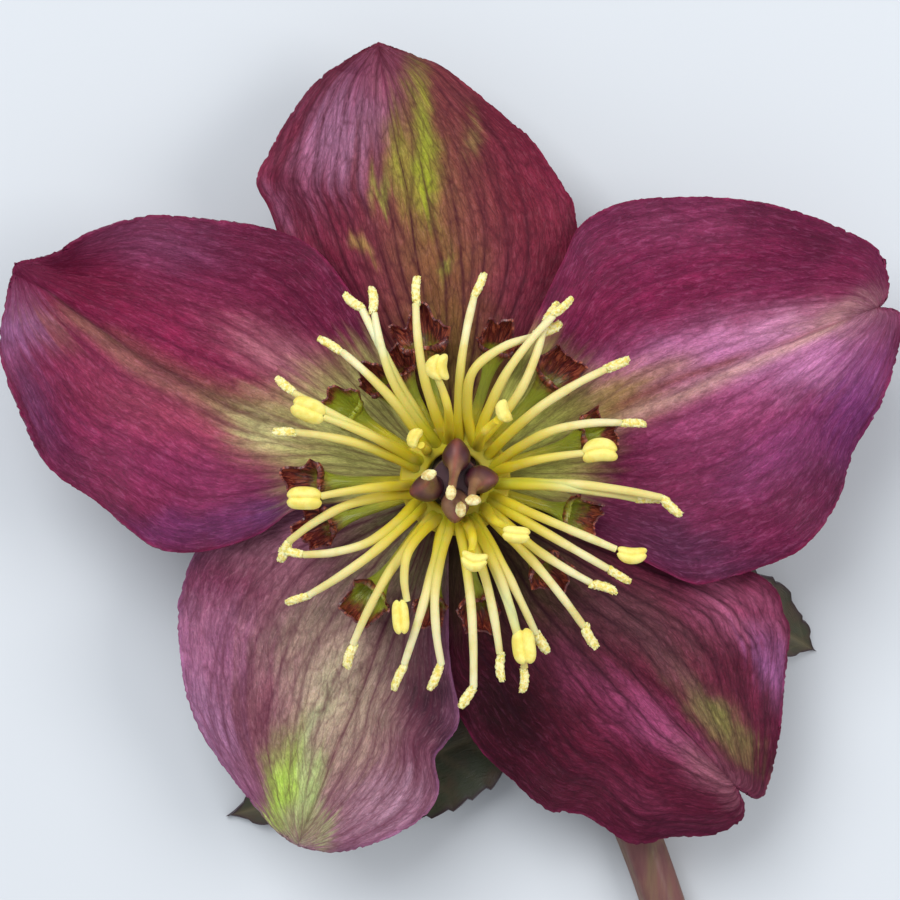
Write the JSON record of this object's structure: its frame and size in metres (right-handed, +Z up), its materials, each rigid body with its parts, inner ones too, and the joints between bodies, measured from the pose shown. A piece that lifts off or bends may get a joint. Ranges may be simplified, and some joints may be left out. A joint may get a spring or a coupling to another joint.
{
  "type": "hellebore flower",
  "caption": "Picked hellebore bloom lying face up on its bent stem, with open plum petals, stamens, nectaries, carpels and two small toothed bracts.",
  "frame": {"origin": "on the surface that the flower lies on, at the flat of the stem beside the bend under the bloom", "axes": "+Z up, out of the bloom's face; the stem runs along the surface towards -Y and a little +X; +Y towards the top of the bloom"},
  "size_m": [0.0754, 0.122, 0.0235],
  "materials": {
    "stem": "fresh brownish pink stem, faintly ribbed",
    "sepal_top": "plum petal with an olive flash, satin",
    "sepal_left": "crimson plum petal with dark edges, satin",
    "sepal_right": "lilac plum petal, satin",
    "sepal_lower_left": "dusty mauve petal with a lime patch, satin",
    "sepal_lower_right": "dark burgundy petal, satin",
    "nectaries": "green trumpets with maroon rims, waxy",
    "stamens": "cream filaments and pale yellow anthers, powdery",
    "carpels": "maroon pods with yellow stigmas, satin",
    "bract_right": "dark olive leaf with a purple edge, satin",
    "bract_left": "dark olive leaf with a purple edge, satin"
  },
  "bodies": {
    "root": {"stem": "stem", "sepal_top": "sepal_top", "sepal_left": "sepal_left", "sepal_right": "sepal_right", "sepal_lower_left": "sepal_lower_left", "sepal_lower_right": "sepal_lower_right", "nectaries": "nectaries", "stamens": "stamens", "carpels": "carpels", "bract_right": "bract_right", "bract_left": "bract_left"}
  },
  "joints": []
}
